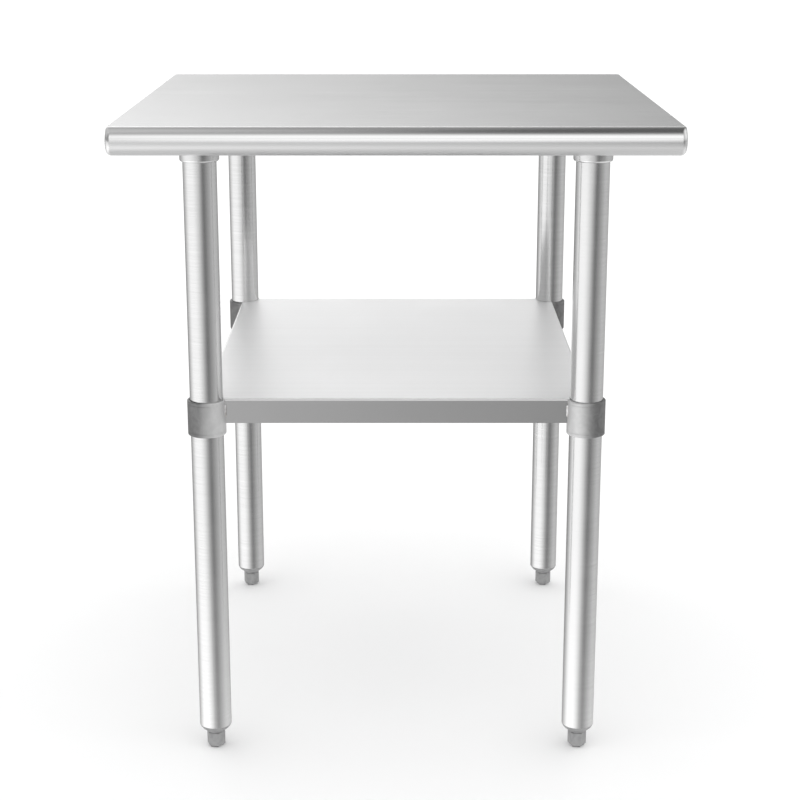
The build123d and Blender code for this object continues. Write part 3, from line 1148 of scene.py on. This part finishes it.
# %% [markdown]
# ## Studio
#
# Bare metal shows nothing but its surroundings, so the surroundings are designed first: pale
# softboxes with dark gaps between them, given by compass direction and height round the table.
# Zero degrees is the front, where the camera stands, and 90 is the right. They could be lamps and
# cards, but as part of the world they light every view alike and never show in the picture. The
# camera sees plain white, and matt surfaces see one even brightness, which gives soft shadows.

# %% Softbox group
SOFTBOX_INPUTS = [
    "Middle",
    "Height",
    "Half Width",
    "Half Height",
    "Soft Sides",
    "Soft Ends",
    "Brightness",
]
softbox, given, out = start_group("softbox", SOFTBOX_INPUTS, ["Light"])
parts = add_node(softbox, "SeparateXYZ", {0: given["Vector"]}).outputs
forward = calc(softbox, "MULTIPLY", parts[1], -1.0)
compass = calc(softbox, "DEGREES", calc(softbox, "ARCTAN2", parts[0], forward))
rise = calc(softbox, "DEGREES", calc(softbox, "ARCSINE", parts[2]))
aside = calc(softbox, "WRAP", calc(softbox, "SUBTRACT", compass, given["Middle"]), 180.0, -180.0)
above = calc(softbox, "SUBTRACT", rise, given["Height"])
light = given["Brightness"]
spans = ((aside, "Half Width", "Soft Sides"), (above, "Half Height", "Soft Ends"))
for offset, half, edge_name in spans:
    inside = calc(softbox, "SUBTRACT", calc(softbox, "ABSOLUTE", offset), given[half])
    share = calc(softbox, "DIVIDE", inside, given[edge_name])
    light = calc(softbox, "MULTIPLY", light, remap(softbox, share, (-1, 1), (1, 0), gentle=True))
feed(softbox, out["Light"], light)

# %% Light the studio
# The numbers stand in the order of SOFTBOX_INPUTS: angles in degrees, and then the brightness.
SOFTBOXES = {
    "key_left": (-64, -29, 54, 30, 42, 10, 1.28),
    "right": (100, -5, 42, 60, 40, 20, 0.6),
    "front_high": (0, 40, 24, 18, 14, 18, 1.55),
    "front_middle": (0, 10, 14, 13, 12, 7, 1.1),
    "front_low": (15, -16, 45, 12, 20, 6, 0.1),
    "overhead_left": (-128, 60, 60, 36, 12, 10, 0.34),
    "overhead_front": (-38, 80, 42, 22, 15, 10, 0.4),
    "room_left": (-100, 45, 65, 40, 15, 10, 0.35),
    "room_right": (75, 38, 55, 30, 15, 10, 0.55),
    "behind_band": (-173, 19, 20, 9, 16, 7, 1.45),
    "behind_left": (-150, 8, 20, 12, 20, 8, 0.7),
    "behind_low": (180, -25, 50, 22, 20, 10, 0.2),
    "ground": (180, -73, 180, 44, 10, 10, 0.66),
}
AMBIENT = 0.11
FILL = 1.3
world = bpy.data.worlds.new("studio")
bpy.context.scene.world = world
world.use_nodes = True
world.cycles.sampling_method = "NONE"
tree = world.node_tree
tree.nodes.clear()
heading = add_node(tree, "TexCoord").outputs["Generated"]
total = AMBIENT
for numbers in SOFTBOXES.values():
    settings = dict(zip(SOFTBOX_INPUTS, numbers))
    light = use_group(tree, softbox, Vector=heading, **settings)
    total = calc(tree, "ADD", total, light["Light"])
rays = add_node(tree, "LightPath").outputs
matt = calc(tree, "MULTIPLY", rays["Is Diffuse Ray"], FILL)
seen = calc(tree, "MAXIMUM", matt, rays["Is Camera Ray"])
mirrored = calc(tree, "MULTIPLY", total, calc(tree, "LESS_THAN", seen, 0.5))
sky = add_node(tree, "Background", {"Strength": calc(tree, "ADD", seen, mirrored)})
output = tree.nodes.new("ShaderNodeOutputWorld")
tree.links.new(sky.outputs[0], output.inputs["Surface"])
sky.inputs["Color"].default_value = (1, 1, 1, 1)
bpy.context.scene.view_settings.view_transform = "Standard"

# %% [markdown]
# ## Camera
#
# The camera stands in front of the table, a little above the top, and tilts down far enough to
# keep the feet in view. A small vertical shift frames the table without tilting further, which
# would make the legs lean more.

# %% Camera
CAMERA_BACK = 2.25
CAMERA_HEIGHT = 1.195
CAMERA_ASIDE = 0.005
CAMERA_TILT = 14.75
CAMERA_SHIFT = -0.05
LENS = 77.8
SENSOR_WIDTH = 36
bpy.ops.object.select_all(action="DESELECT")
bpy.ops.object.camera_add(
    location=(CAMERA_ASIDE, cad_low.y - CAMERA_BACK, CAMERA_HEIGHT),
    rotation=(math.radians(90 - CAMERA_TILT), 0, 0),
)
camera = bpy.context.active_object
camera.name = "camera"
camera.data.lens = LENS
camera.data.sensor_width = SENSOR_WIDTH
camera.data.shift_y = CAMERA_SHIFT
bpy.context.scene.camera = camera

# %% Update the view layer
bpy.context.view_layer.update()
